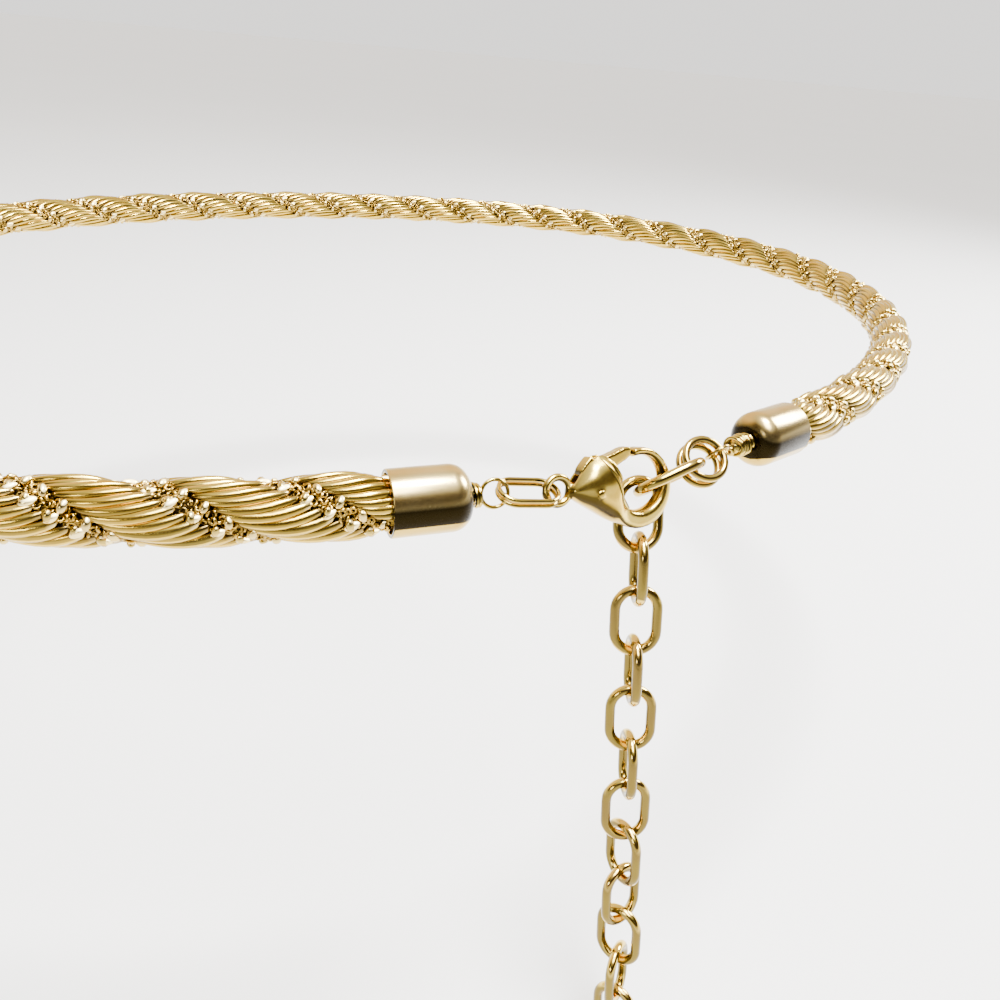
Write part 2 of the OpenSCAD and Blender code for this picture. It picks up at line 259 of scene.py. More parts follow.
# The loop's line: its turn starts at the middle of the back, and lengths along it are positive
# towards +X. Sizes are in millimetres, and metres() or mm turns them into Blender's unit

cap = {"diameter": 8.3, "length": 10.0, "wall": 0.5, "round": 2.5, "edge": 0.16, "hole": 1.4,
       "sides": 72, "middle": 27.8, "face": (22.87, -94.48, 0), "turn": 9.78, "sharp": 40}
loop = {"halfWidth": 126.0, "halfDepth": 96.0, "turns": 25, "ropeInCap": 6.0, "steps": 3600}


def loopPoint(turn):
    return Vector((loop["halfWidth"] * math.sin(turn), -loop["halfDepth"] * math.cos(turn), 0))


def loopTable():
    table, length = [(0.0, 0.0)], 0.0
    for step in range(1, loop["steps"] + 1):
        turn = math.pi * step / loop["steps"]
        length += (loopPoint(turn) - loopPoint(math.pi * (step - 1) / loop["steps"])).length
        table.append((length, turn))
    return table


lengths = loopTable()
halfLength = lengths[-1][0]
strandPitch = 2 * halfLength / loop["turns"]
capTurn = math.asin(cap["middle"] / loop["halfWidth"])
mouthLength = next(length for length, turn in lengths if turn >= capTurn) + cap["length"] / 2


def turnAt(length):
    size = abs(length)
    low, high = 0, len(lengths) - 1
    while high - low > 1:
        middle = (low + high) // 2
        low, high = (middle, high) if lengths[middle][0] <= size else (low, middle)
    (lowLength, lowTurn), (highLength, highTurn) = lengths[low], lengths[high]
    turn = lowTurn + (highTurn - lowTurn) * (size - lowLength) / (highLength - lowLength)
    return math.copysign(turn, length)


# Meshes

def circleAngles(count):
    return [2 * math.pi * k / count for k in range(count)]


def meshObject(name, mesh, material=None):
    piece = bpy.data.objects.new(name, mesh)
    scene.collection.objects.link(piece)
    if material:
        mesh.materials.clear()
        mesh.materials.append(material)
    return piece


def ringsMesh(name, rings, closed=False, poles=None):
    mesh = bpy.data.meshes.new(name)
    build = bmesh.new()
    rows = [[build.verts.new(point) for point in ring] for ring in rings]
    count = len(rows[0])
    pairs = list(zip(rows, rows[1:])) + ([(rows[-1], rows[0])] if closed else [])
    for first, second in pairs:
        for i in range(count):
            j = (i + 1) % count
            build.faces.new((first[i], first[j], second[j], second[i]))
    if poles:
        for row, pole in ((rows[0], poles[0]), (rows[-1], poles[1])):
            tip = build.verts.new(pole)
            for i in range(count):
                build.faces.new((row[i], row[(i + 1) % count], tip))
    bmesh.ops.recalc_face_normals(build, faces=build.faces)
    for face in build.faces:
        face.smooth = True
    build.to_mesh(mesh)
    build.free()
    return mesh


def sweep(name, path, radius, sides=16, closed=True):
    count = len(path)
    rings = []
    side = None
    for i, point in enumerate(path):
        before = path[i - 1] if closed or i else point
        after = path[(i + 1) % count] if closed or i < count - 1 else point
        along = (after - before).normalized()
        if side is None:
            side = along.orthogonal().normalized()
        side = (side - along * side.dot(along)).normalized()
        other = along.cross(side)
        wide = radius(i / count) if callable(radius) else radius
        rings.append([point + (side * math.cos(a) + other * math.sin(a)) * wide
                      for a in circleAngles(sides)])
    poles = None if closed else (path[0], path[-1])
    return ringsMesh(name, rings, closed, poles)


def joined(name, meshes, material):
    mesh = bpy.data.meshes.new(name)
    build = bmesh.new()
    for part in meshes:
        build.from_mesh(part)
    build.to_mesh(mesh)
    build.free()
    piece = meshObject(name, mesh, material)
    for part in meshes:
        bpy.data.meshes.remove(part)
    return piece


def settle(piece, body, slot, *replaced):
    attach(piece, body)
    if replaced:
        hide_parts(*replaced)


# Rope: rows of items that wind round a straight line, in two strands with one or more lanes each,
# and are then bent round the loop's line

def ropeTree():
    tree = bpy.data.node_groups.new("ropeRows", "GeometryNodeTree")
    graph = Graph(tree)
    tree.interface.new_socket("Guide", in_out="INPUT", socket_type="NodeSocketGeometry")
    inputs = {"Object": ["Item"], "Material": ["Material"], "Int": ["Count", "Lanes", "Seed"],
              "Vector": ["Turn Jitter"],
              "Float": ["Start", "Spacing", "Stagger", "Shift", "Pitch", "First Angle",
                        "Lane Angle", "Reach", "Reach Jitter", "Size Jitter", "Guide Start",
                        "Mouth", "Mouth Length", "Neck", "Crown", "Floor"]}
    for kind, names in inputs.items():
        for name in names:
            tree.interface.new_socket(name, in_out="INPUT", socket_type="NodeSocket" + kind)
    tree.interface.new_socket("Rope", in_out="OUTPUT", socket_type="NodeSocketGeometry")
    given = graph.add("NodeGroupInput")

    def stored(geometry, name, value, domain="POINT"):
        return graph.add("GeometryNodeStoreNamedAttribute",
                         {"data_type": "FLOAT", "domain": domain},
                         {"Geometry": geometry, "Name": name, "Value": value})[0]

    def chance(low, high, salt):
        kind, first, out = ("FLOAT_VECTOR", 0, 0) if isinstance(low, tuple) else ("FLOAT", 2, 1)
        return graph.add("FunctionNodeRandomValue", {"data_type": kind}, {
            first: low, first + 1: high, "ID": graph.add("GeometryNodeInputIndex")["Index"],
            "Seed": given["Seed"] + salt})[out]

    line = graph.add("GeometryNodeMeshLine", {"mode": "OFFSET"}, {
        "Count": given["Count"], "Start Location": graph.point(given["Start"]),
        "Offset": graph.point(given["Spacing"])})
    doubled = graph.add("GeometryNodeDuplicateElements", {"domain": "POINT"}, {
        "Geometry": line[0], "Amount": given["Lanes"] * 2})
    strand = doubled["Duplicate Index"].math("MODULO", 2)
    lane = (doubled["Duplicate Index"] / 2).math("FLOOR")
    spot = graph.add("GeometryNodeInputPosition")[0]
    along = graph.add("ShaderNodeSeparateXYZ", None, {0: spot})["X"] + given["Shift"] \
        + lane * given["Stagger"] * given["Spacing"]
    angle = along * (2 * math.pi) / given["Pitch"] + given["First Angle"] \
        + strand * math.pi + lane * given["Lane Angle"]
    kept = stored(stored(doubled["Geometry"], "lane", lane), "wind", angle)
    reach = given["Reach"] + chance(-1.0, 1.0, 1) * given["Reach Jitter"]
    wind = graph.add("GeometryNodeInputNamedAttribute", {"data_type": "FLOAT"},
                     {"Name": "wind"})[0]
    moved = graph.add("GeometryNodeSetPosition", None, {
        "Geometry": kept,
        "Position": graph.point(along, reach * wind.math("COSINE"), reach * wind.math("SINE"))})
    jitter = graph.vector("MULTIPLY", chance((-1, -1, -1), (1, 1, 1), 2), given["Turn Jitter"])
    turned = graph.add("FunctionNodeRotateRotation", {"rotation_space": "LOCAL"}, {
        "Rotation": graph.add("FunctionNodeEulerToRotation", None, {0: graph.point(wind)})[0],
        "Rotate By": graph.add("FunctionNodeEulerToRotation", None, {0: jitter})[0]})
    size = 1.03 - lane * 0.04 + chance(-1.0, 1.0, 3) * given["Size Jitter"]
    placed = graph.add("GeometryNodeInstanceOnPoints", None, {
        "Points": moved[0],
        "Instance": graph.add("GeometryNodeObjectInfo", None, {"Object": given["Item"]})[
            "Geometry"],
        "Rotation": turned[0], "Scale": graph.point(size, size, size)})
    tinted = stored(placed[0], "tint", chance(0.0, 1.0, 4), "INSTANCE")
    solid = graph.add("GeometryNodeRealizeInstances", None, {"Geometry": tinted})[0]

    # The straight rows are narrowed at the cap's mouth and bent round the guide
    parts = graph.add("ShaderNodeSeparateXYZ", None,
                      {0: graph.add("GeometryNodeInputPosition")[0]})
    radius = (parts["Y"] * parts["Y"] + parts["Z"] * parts["Z"]).math("SQRT")
    depth = (given["Crown"] - radius) / (given["Crown"] - given["Floor"])
    # How deep a point lies, stored for the metals' painted shade in the recesses
    deep = stored(solid, "deep", depth)
    freed = parts["X"].math("ABSOLUTE").ramp(given["Mouth"],
                                             given["Mouth"] + given["Mouth Length"])
    narrow = given["Neck"] + (1.0 - given["Neck"]) * freed
    guide = graph.add("GeometryNodeMeshToCurve", None, {0: given["Guide"]})[0]
    sample = graph.add("GeometryNodeSampleCurve", {"mode": "LENGTH"}, {
        "Curves": guide, "Length": parts["X"] - given["Guide Start"]})
    outward = graph.vector("CROSS_PRODUCT", sample["Tangent"], (0, 0, 1))
    pushed = graph.add("ShaderNodeVectorMath", {"operation": "SCALE"}, {
        0: outward, "Scale": parts["Y"] * narrow})[0]
    lowered = graph.point(z=-(parts["Z"] * narrow))
    bent = graph.add("GeometryNodeSetPosition", None, {
        "Geometry": deep, "Position": graph.vector("ADD", sample["Position"],
                                                   graph.vector("ADD", pushed, lowered))})
    finished = graph.add("GeometryNodeSetMaterial", None,
                         {"Geometry": bent[0], "Material": given["Material"]})
    graph.add("NodeGroupOutput", None, {0: finished[0]})
    return tree


def bake(name, guide, tree, values):
    modifier = guide.modifiers.new("rows", "NODES")
    modifier.node_group = tree
    for socket in tree.interface.items_tree:
        if socket.name in values:
            modifier[socket.identifier] = values[socket.name]
    guide.update_tag()
    evaluated = guide.evaluated_get(bpy.context.evaluated_depsgraph_get())
    mesh = bpy.data.meshes.new_from_object(evaluated)
    guide.modifiers.remove(modifier)
    mesh.name = name
    return meshObject(name, mesh)


# One rib lies along the rope and leans round it. The strand's crown lifts its middle, and its right
# end carries a painted highlight
rib = {"slope": 0.17, "bow": 0.042, "left": -5.5, "right": 4.2, "crown": 4.0, "groove": 3.15,
       "fallPower": 1.3, "halfWidth": 0.74, "halfThick": 0.62, "endWidth": 0.35,
       "endPower": 0.3, "bluntLeft": 3.4, "bluntRight": 7.0, "tilt": 0.25, "bend": 0.3,
       "tipLift": 0.5, "tipLength": 1.3, "rings": 11, "sides": 8}


# Marks each vertex with its share of painted highlight
def highlightMarked(mesh, share):
    mark = mesh.attributes.new("tip", "FLOAT", "POINT")
    for i, vertex in enumerate(mesh.vertices):
        mark.data[i].value = min(1, max(0, share(vertex.co / mm)))
    return mesh


def ribCentre(share):
    middle, half = (rib["left"] + rib["right"]) / 2, (rib["right"] - rib["left"]) / 2
    along = middle + half * share
    turn = -(rib["slope"] * along + rib["bow"] * along * along) / rib["crown"]
    fall = abs(math.cos(turn - 2 * math.pi * along / strandPitch)) ** rib["fallPower"]
    fall = max(fall, rib["tipLift"] * min(1, max(0, along / rib["right"])))
    top = rib["groove"] + (rib["crown"] - rib["groove"]) * fall
    return along, turn, top - rib["halfThick"]


def ribMesh():
    rings = []
    for i in range(1, rib["rings"]):
        share = i / rib["rings"]
        share = share - (1 + math.cos(math.pi * share)) / 2
        along, turn, lift = ribCentre(share)
        full = (1 - abs(share) ** rib["bluntRight" if share > 0 else "bluntLeft"]) ** 0.5
        wide = rib["endWidth"] + (1 - rib["endWidth"]) * full
        ring = []
        for angle in circleAngles(rib["sides"]):
            across = rib["halfWidth"] * wide * full ** rib["endPower"] * math.sin(angle)
            reach = lift + rib["halfThick"] * full * math.cos(angle) + rib["tilt"] * across
            wound = turn + across / (lift + rib["bend"])
            ring.append(metres((along, reach * math.cos(wound), reach * math.sin(wound))))
        rings.append(ring)
    poles = [metres((along, lift * math.cos(turn), lift * math.sin(turn)))
             for along, turn, lift in (ribCentre(-1), ribCentre(1))]
    return highlightMarked(ringsMesh("ribItem", rings, False, poles),
                  lambda point: (point.x - rib["right"]) / rib["tipLength"] + 1)


def blobMesh(name, half, rings=5, sides=8):
    rows = []
    for i in range(1, rings + 1):
        across = math.sin(math.pi * i / (rings + 1))
        along = -half[0] * math.cos(math.pi * i / (rings + 1))
        rows.append([metres((along, half[1] * across * math.cos(a), half[2] * across * math.sin(a)))
                     for a in circleAngles(sides)])
    return ringsMesh(name, rows, False, (metres((-half[0], 0, 0)), metres((half[0], 0, 0))))


# The small pieces: beads with a painted highlight on their upper side, slanted tips of the wires
# painted with a highlight all over, and rings
bead = {"half": (0.5, 0.46, 0.8), "markStart": 0.5, "markSlope": 1.5}
wireTip = {"half": (0.95, 0.42, 0.5), "lean": 27}
grain = {"radius": 0.38, "wireRadius": 0.22, "steps": 7, "sides": 4}


def beadMesh():
    return highlightMarked(blobMesh("endItem", bead["half"]),
                  lambda point: bead["markStart"] + bead["markSlope"] * point.y)


def tipMesh():
    mesh = highlightMarked(blobMesh("tipItem", wireTip["half"]), lambda point: 1)
    mesh.transform(Matrix.Rotation(math.radians(wireTip["lean"]), 4, "Y"))
    return mesh


def grainMesh():
    path = [metres((math.cos(a), 0, math.sin(a))) * grain["radius"]
            for a in circleAngles(grain["steps"])]
    return sweep("grainItem", path, grain["wireRadius"] * mm, grain["sides"])


ribItem = meshObject("ribItem", ribMesh())
endItem = meshObject("endItem", beadMesh())
tipItem = meshObject("tipItem", tipMesh())
grainItem = meshObject("grainItem", grainMesh())

# Each row's inset is how far it starts outside the rope's end in the cap
rope = {"coreRadius": 2.75, "coreSides": 12, "spare": 9.0, "guideSteps": 420,
        "phase": math.radians(24), "split": 0.05, "seeds": {"Right": 11, "Left": 57}}
shared = {"Pitch": strandPitch * mm, "Mouth": (mouthLength - 0.4) * mm, "Mouth Length": 2.4 * mm,
          "Neck": 0.8625, "Crown": 4.0 * mm, "Floor": 2.4 * mm}
ropeRows = {
    "Ribs": {"spacing": strandPitch / 12, "inset": 4.5, "values": {
        "Item": ribItem, "Material": metals["ropeRib"], "Lanes": 2, "Stagger": 0.5,
        "First Angle": rope["phase"], "Turn Jitter": (0.02, 0.008, 0.008),
        "Size Jitter": 0.012}},
    "Ends": {"spacing": strandPitch / 12, "inset": 0.6, "values": {
        "Item": endItem, "Material": metals["ropeEnd"], "Lanes": 2, "Stagger": 0.4,
        "First Angle": rope["phase"] + math.radians(72), "Lane Angle": math.radians(36),
        "Reach": 3.35 * mm, "Reach Jitter": 0.12 * mm, "Turn Jitter": (0.4, 0.5, 0.5),
        "Size Jitter": 0.14}},
    "Tips": {"spacing": strandPitch / 12, "inset": 4.5, "values": {
        "Item": tipItem, "Material": metals["ropeTip"], "Lanes": 1,
        "Shift": (rib["right"] - 0.75) * mm, "First Angle": rope["phase"] - 1.2,
        "Reach": 3.28 * mm, "Reach Jitter": 0.06 * mm, "Turn Jitter": (0.15, 0.12, 0.15),
        "Size Jitter": 0.14}},
    "Grains": {"spacing": strandPitch / 29, "inset": 0.6, "values": {
        "Item": grainItem, "Material": metals["ropeGrain"], "Lanes": 5, "Stagger": 0.45,
        "First Angle": rope["phase"] + math.radians(73), "Lane Angle": math.radians(8.5),
        "Reach": 2.95 * mm, "Reach Jitter": 0.2 * mm, "Turn Jitter": (0.9, 1.4, 0.9),
        "Size Jitter": 0.12}},
}
ropeRowsTree = ropeTree()


def rowPlaces(side, spacing, inset):
    low = mouthLength - loop["ropeInCap"] + inset
    first = math.ceil(low / spacing - 0.5)
    count = int(halfLength / spacing - 0.5) - first + 1
    start = (first + 0.5) * spacing
    if side < 0:
        start = -(start + (count - 1) * spacing)
    return {"Start": start * mm, "Spacing": spacing * mm, "Count": count}


def guidePoints(side):
    start, end = mouthLength - loop["ropeInCap"] - 1, halfLength + rope["spare"]
    points = []
    for i in range(rope["guideSteps"] + 1):
        length = start + (end - start) * i / rope["guideSteps"]
        beyond = length > halfLength
        turn = turnAt(2 * halfLength - length if beyond else length)
        turn = 2 * math.pi - turn if beyond else turn
        points.append((length * side, loopPoint(turn * side) * mm))
    return sorted(points, key=lambda pair: pair[0])


for side, half in ((1, "Right"), (-1, "Left")):
    points = guidePoints(side)
    guideMesh = bpy.data.meshes.new("guide" + half)
    guideMesh.from_pydata([point for _, point in points],
                          [(i, i + 1) for i in range(rope["guideSteps"])], [])
    guide = meshObject("guide" + half, guideMesh)
    for kind, row in ropeRows.items():
        piece = bake("rope" + half + kind, guide, ropeRowsTree, {
            **shared, **rowPlaces(side, row["spacing"], row["inset"]), **row["values"],
            "Guide Start": points[0][0] * mm, "Seed": rope["seeds"][half]})
        replaced = ["rope_" + half.lower()] if kind == "Ribs" else []
        settle(piece, "chain", "rope", *replaced)
    inner = [point for length, point in points if
             mouthLength - loop["ropeInCap"] <= abs(length) <= halfLength - rope["split"]]
    # A dark core runs inside each half of the rope; its brown is painted shade between the wires
    core = sweep("rope" + half + "Core", inner, rope["coreRadius"] * mm, rope["coreSides"], False)
    settle(meshObject(core.name, core, metals["ropeCore"]), "chain", "rope")
    bpy.data.objects.remove(guide)
for item in (ribItem, endItem, tipItem, grainItem):
    bpy.data.objects.remove(item)
print("rope done")


# End caps, turned round the rope's line, and the wires through their closed ends. The two wires
# differ in the number and depth of their wraps, and in where their eyes start and how they roll

eye = {"outer": 4.0, "wire": 0.5, "wraps": 3.3, "wrapStart": 0.46, "unevenness": 0.05,
       "stem": 1.1, "sleeve": 2.0, "head": (0.4, 1.35, 1.35), "headAt": -1.0,
       "right": {"turns": 4.7, "depth": 3.5, "near": 5.1, "roll": 52},
       "left": {"turns": 1.7, "depth": 1.2, "near": 1.54, "roll": 73}}


def arc(centre, radius, start, end, count):
    angles = [math.radians(start + (end - start) * i / count) for i in range(count + 1)]
    return [(centre[0] + radius * math.cos(a), centre[1] + radius * math.sin(a)) for a in angles]


def capFrame(side):
    turn = 180 + cap["turn"] if side > 0 else -cap["turn"]
    face = (side * cap["face"][0], cap["face"][1], cap["face"][2])
    return Matrix.Translation(metres(face)) @ Matrix.Rotation(math.radians(turn), 4, "Z")


def capMesh():
    outer, wall, big, edge = cap["diameter"] / 2, cap["wall"], cap["round"], cap["edge"]
    small = big - wall
    line = [(cap["hole"] / 2, wall), (cap["hole"] / 2, 0.0)]
    line += arc((outer - big, big), big, -90, 0, 12)
    line += arc((outer - edge, cap["length"] - edge), edge, 0, 90, 4)
    line += arc((outer - wall + edge, cap["length"] - edge), edge, 90, 180, 4)
    line += arc((outer - wall - small, wall + small), small, 0, -90, 10)
    return ringsMesh("cap", [[metres((-depth, radius * math.cos(a), radius * math.sin(a)))
                              for a in circleAngles(cap["sides"])] for radius, depth in line], True)


def sharpByAngle(mesh, degrees):
    build = bmesh.new()
    build.from_mesh(mesh)
    for edge in build.edges:
        if len(edge.link_faces) == 2 and edge.calc_face_angle() > math.radians(degrees):
            edge.smooth = False
    build.to_mesh(mesh)
    build.free()


def coilPath(turns, depth, near):
    path, steps, endSteps, start = [], 20, 8, eye["wrapStart"]
    for i in range(int(steps * turns) + 1):
        a = 2 * math.pi * i / steps
        wide = (eye["wraps"] - eye["wire"]) / 2 * (1 + eye["unevenness"] * math.sin(2.3 * a))
        path.append((start + (depth - start) * i / (steps * turns), wide, a))
    # Past its last wrap the wire winds in to the foot of the eye
    _, wide, last = path[-1]
    for i in range(1, endSteps + 1):
        share = i / endSteps
        path.append((depth + (near - depth) * share / 2, wide * (1 - share), last + 0.3 * i))
    path.append((near, 0, last))
    return [metres((along, wide * math.cos(a), wide * math.sin(a))) for along, wide, a in path]


def eyePath(near, roll):
    radius = (eye["outer"] - eye["wire"]) / 2
    tilt = Matrix.Rotation(math.radians(roll), 3, "X")
    return [tilt @ metres((near + radius + radius * math.cos(a), radius * math.sin(a), 0))
            for a in circleAngles(48)]


def rod(name, stops, diameter, sides):
    return sweep(name, [metres((stop, 0, 0)) for stop in stops], diameter / 2 * mm, sides, False)


for side, half in ((1, "right"), (-1, "left")):
    capPiece = meshObject("cap" + half.capitalize(), capMesh(), metals["cap"])
    capPiece.data.transform(capFrame(side))
    sharpByAngle(capPiece.data, cap["sharp"])
    settle(capPiece, "chain", "cap", "end_cap_" + half)

    own = eye[half]
    head = blobMesh("head", eye["head"], 5, 16)
    head.transform(Matrix.Translation(metres((eye["headAt"], 0, 0))))
    wirePiece = joined("eyeWire" + half.capitalize(), [
        sweep("ring", eyePath(own["near"], own["roll"]), eye["wire"] / 2 * mm, 12),
        sweep("coil", coilPath(own["turns"], own["depth"], own["near"]), eye["wire"] / 2 * mm, 10,
              False),
        rod("stem", (-1.4, -0.6, 0.2, own["depth"] * 0.6, own["depth"]), eye["stem"], 12),
        rod("sleeve", (0.5, 0.7, own["depth"] * 0.6, own["depth"] - 0.2), eye["sleeve"], 16),
        head], metals["wire"])
    wirePiece.data.transform(capFrame(side))
    settle(wirePiece, "chain", "wire", "eye_wire_" + half)
print("caps done")


# Links and rings: one item each, placed on points that carry their turn

def copiesTree():
    tree = bpy.data.node_groups.new("placedCopies", "GeometryNodeTree")
    graph = Graph(tree)
    for name, kind in (("Places", "Geometry"), ("Item", "Object"), ("Material", "Material")):
        tree.interface.new_socket(name, in_out="INPUT", socket_type="NodeSocket" + kind)
    tree.interface.new_socket("Copies", in_out="OUTPUT", socket_type="NodeSocketGeometry")
    given = graph.add("NodeGroupInput")
    turn = graph.add("GeometryNodeInputNamedAttribute", {"data_type": "FLOAT_VECTOR"},
                     {"Name": "turn"})[0]
    placed = graph.add("GeometryNodeInstanceOnPoints", None, {
        "Points": given["Places"],
        "Instance": graph.add("GeometryNodeObjectInfo", None, {"Object": given["Item"]})[
            "Geometry"],
        "Rotation": graph.add("FunctionNodeEulerToRotation", None, {0: turn})[0]})
    solid = graph.add("GeometryNodeRealizeInstances", None, {"Geometry": placed[0]})
    finished = graph.add("GeometryNodeSetMaterial", None,
                         {"Geometry": solid[0], "Material": given["Material"]})
    graph.add("NodeGroupOutput", None, {0: finished[0]})
    return tree


def stadium(size, steps=20):
    radius, half = (size["width"] - size["wire"]) / 2, (size["length"] - size["width"]) / 2
    line = arc((half, 0), radius, -90, 90, steps) + arc((-half, 0), radius, 90, 270, steps)
    return [metres((x, y, 0)) for x, y in line]


def circle(outer, wire, steps=56):
    radius = (outer - wire) / 2
    return [metres((radius * math.cos(a), radius * math.sin(a), 0)) for a in circleAngles(steps)]


copies = copiesTree()


def placeAll(name, itemMesh, places, replaced):
    item = meshObject(name + "Item", itemMesh)
    spots = bpy.data.meshes.new(name + "Spots")
    spots.from_pydata([metres(at) for at, _ in places], [], [])
    turns = spots.attributes.new("turn", "FLOAT_VECTOR", "POINT")
    for i, (_, turn) in enumerate(places):
        turns.data[i].vector = [math.radians(v) for v in turn]
    guide = meshObject(name + "Spots", spots)
    piece = bake(name, guide, copies, {"Item": item, "Material": metals["wire"]})
    bpy.data.objects.remove(guide)
    bpy.data.objects.remove(item)
    settle(piece, "chain", "wire", *replaced)


def pairPlaces(pair):
    turn = Euler([math.radians(v) for v in pair["turn"]]).to_matrix()
    return [(Vector(at) + turn @ Vector((0, 0, lift)), pair["turn"])
            for at, lift in zip(pair["at"], (pair["step"] / 2, -pair["step"] / 2))]


# The first two links lie where the hook and the rings hold them, and the others hang in a line
link = {"length": 11.0, "width": 7.6, "wire": 1.5, "gap": 0.15, "sides": 20,
        "held": [((7.7, -95.8, -2.4), (41, 22.2, 169.5)),
                 ((3.5, -95.65, -7.5), (-8, 63.3, -112.5))],
        "start": (2.9, -98.4, -14.8), "heading": -102.3, "rise": -75.8,
        "rolls": (105, 15, 105, 17, 103, 12, 76, -18, 50, -44, 50)}
rise, heading = math.radians(link["rise"]), math.radians(link["heading"])
down = Vector((math.cos(rise) * math.cos(heading), math.cos(rise) * math.sin(heading),
               math.sin(rise)))
linkPitch = link["length"] - 2 * link["wire"] - link["gap"]
linkPlaces = link["held"] + [
    (Vector(link["start"]) + down * linkPitch * i, (roll, -link["rise"], link["heading"]))
    for i, roll in enumerate(link["rolls"])]
placeAll("extenderLinks", sweep("link", stadium(link), link["wire"] / 2 * mm, link["sides"]),
         linkPlaces, ["link_%02d" % (i + 1) for i in range(len(linkPlaces))])

jumpRing = {"outer": 7.0, "wire": 1.1, "step": 1.25, "sides": 18, "turn": (41, 0, -11.5),
            "at": ((13.2, -96.04, -0.6), (12.9, -96.04, -1.0))}
placeAll("jumpRings", sweep("ring", circle(jumpRing["outer"], jumpRing["wire"]),
                            jumpRing["wire"] / 2 * mm, jumpRing["sides"]),
         pairPlaces(jumpRing), ["ring_a", "ring_b"])

oval = {"length": 8.6, "width": 4.8, "wire": 0.6, "step": 0.75, "sides": 14,
        "turn": (12, 7.623, -8.491), "at": ((-15.116, -95.613, -0.465),) * 2}
placeAll("ovalLinks", sweep("oval", stadium(oval), oval["wire"] / 2 * mm, oval["sides"]),
         pairPlaces(oval), ["oval_link_a", "oval_link_b"])
print("links done")


# Clasp: copies of the solids, remeshed and softened, with ridges and rivets laid on. The body is
# first thickened to an egg between its tail and its collar

clasp = {"place": (2.35, -96.25, -2.15), "lean": 70, "voxel": 0.12, "rounds": 100, "swell": 0.14,
         "crown": (-7.0, 0.8, 10.0), "half": 2.1, "keel": 1.7, "collar": (-5.4, -3.6),
         "thinnest": 0.4, "change": (0.5, 1.5),
         "ridge": 0.27, "ridgeStep": 0.85, "sink": 0.05, "tail": (-13.195, 1.298, 0),
         "tailOuter": 4.5, "tailWire": 0.95, "pin": (-8.3, 0.2), "pinDome": (0.62, 0.62, 0.22)}
lever = {"voxel": 0.1, "rounds": 36, "swell": 0.06}
# Sections of the body: x, lower edge, upper edge, half thickness
sections = [(-11.4, 0.2, 1.6, 1.2), (-10, -0.8, 3.0, 1.9), (-8.5, -1.95, 4.25, 2.5),
            (-7, -3.0, 4.75, 2.6), (-5.5, -4.0, 5.0, 2.5), (-3.8, -4.9, 5.0, 2.1)]
ridgeLine = [(-6.6, 4.7), (-5.85, 3.2), (-5.1, 1.55), (-4.5, -0.15), (-3.7, -1.65), (-2.8, -2.9)]
claspFrame = Matrix.Translation(metres(clasp["place"])) @ Matrix.Rotation(
    math.radians(clasp["lean"]), 4, "X")


def setModifier(piece, kind, settings):
    modifier = piece.modifiers.new(kind.lower(), kind)
    for name, value in settings.items():
        setattr(modifier, name, value)


def modified(mesh, change):
    piece = meshObject("work", mesh)
    change(piece)
    evaluated = piece.evaluated_get(bpy.context.evaluated_depsgraph_get())
    finished = bpy.data.meshes.new_from_object(evaluated)
    bpy.data.objects.remove(piece)
    return finished


def evenMesh(node, voxel):
    mesh = nodes[node].data.copy()
    build = bmesh.new()
    build.from_mesh(mesh)
    bmesh.ops.remove_doubles(build, verts=build.verts, dist=0.002 * mm)
    bmesh.ops.recalc_face_normals(build, faces=build.faces)
    build.to_mesh(mesh)
    build.free()
    return modified(mesh, lambda piece: setModifier(piece, "REMESH", {
        "mode": "VOXEL", "voxel_size": voxel * mm, "use_smooth_shade": True}))


def softened(mesh, rounds, swell):
    def change(piece):
        setModifier(piece, "SMOOTH", {"factor": 0.5, "iterations": rounds})
        setModifier(piece, "DISPLACE", {"strength": swell * mm, "mid_level": 0.0})
    return modified(mesh, change)


def curved(points, steps=6):
    path = []
    ends = [Vector(point) for point in [points[0]] + points + [points[-1]]]
    for before, first, second, after in zip(ends, ends[1:], ends[2:], ends[3:]):
        for k in range(steps):
            t = k / steps
            path.append(first + (second - before) * (t / 2)
                        + (2 * before - 5 * first + 4 * second - after) * (t ** 2 / 2)
                        + (3 * first - before - 3 * second + after) * (t ** 3 / 2))
    return path + [ends[-1]]


profile = curved(sections, 8)


def sectionAt(x):
    for first, second in zip(profile, profile[1:]):
        if x <= second[0]:
            break
    share = min(1, max(0, (x - first[0]) / (second[0] - first[0])))
    return list(first.lerp(second, share))[1:]


def thickening(x, y):
    low, high = clasp["collar"]
    share = min(1, max(0, (high - x) / (high - low)))
    share = share * share * (3 - 2 * share)
    under, over, half = sectionAt(x)
    height = (2 * y - under - over) / (over - under)
    height = min(1, abs(height)) ** (1 if height > 0 else clasp["keel"])
    crownX, crownY, crownRadius = clasp["crown"]
    away = (x - crownX) ** 2 + (y - crownY) ** 2
    solid = math.sqrt(max(0, crownRadius ** 2 - away)) - crownRadius + clasp["half"]
    wanted = half * math.sqrt(max(0.05, 1 - height ** 2))
    least, most = clasp["change"]
    return 1 + (min(most, max(least, wanted / max(clasp["thinnest"], solid))) - 1) * share


claspMesh = evenMesh("clasp_body", clasp["voxel"])
intoClasp = claspFrame.inverted()
for vertex in claspMesh.vertices:
    place = (intoClasp @ vertex.co) / mm
    place.z *= thickening(place.x, place.y)
    vertex.co = claspFrame @ metres(place)
claspMesh = softened(claspMesh, clasp["rounds"], clasp["swell"])
surface = BVHTree.FromPolygons([v.co for v in claspMesh.vertices],
                               [tuple(f.vertices) for f in claspMesh.polygons])


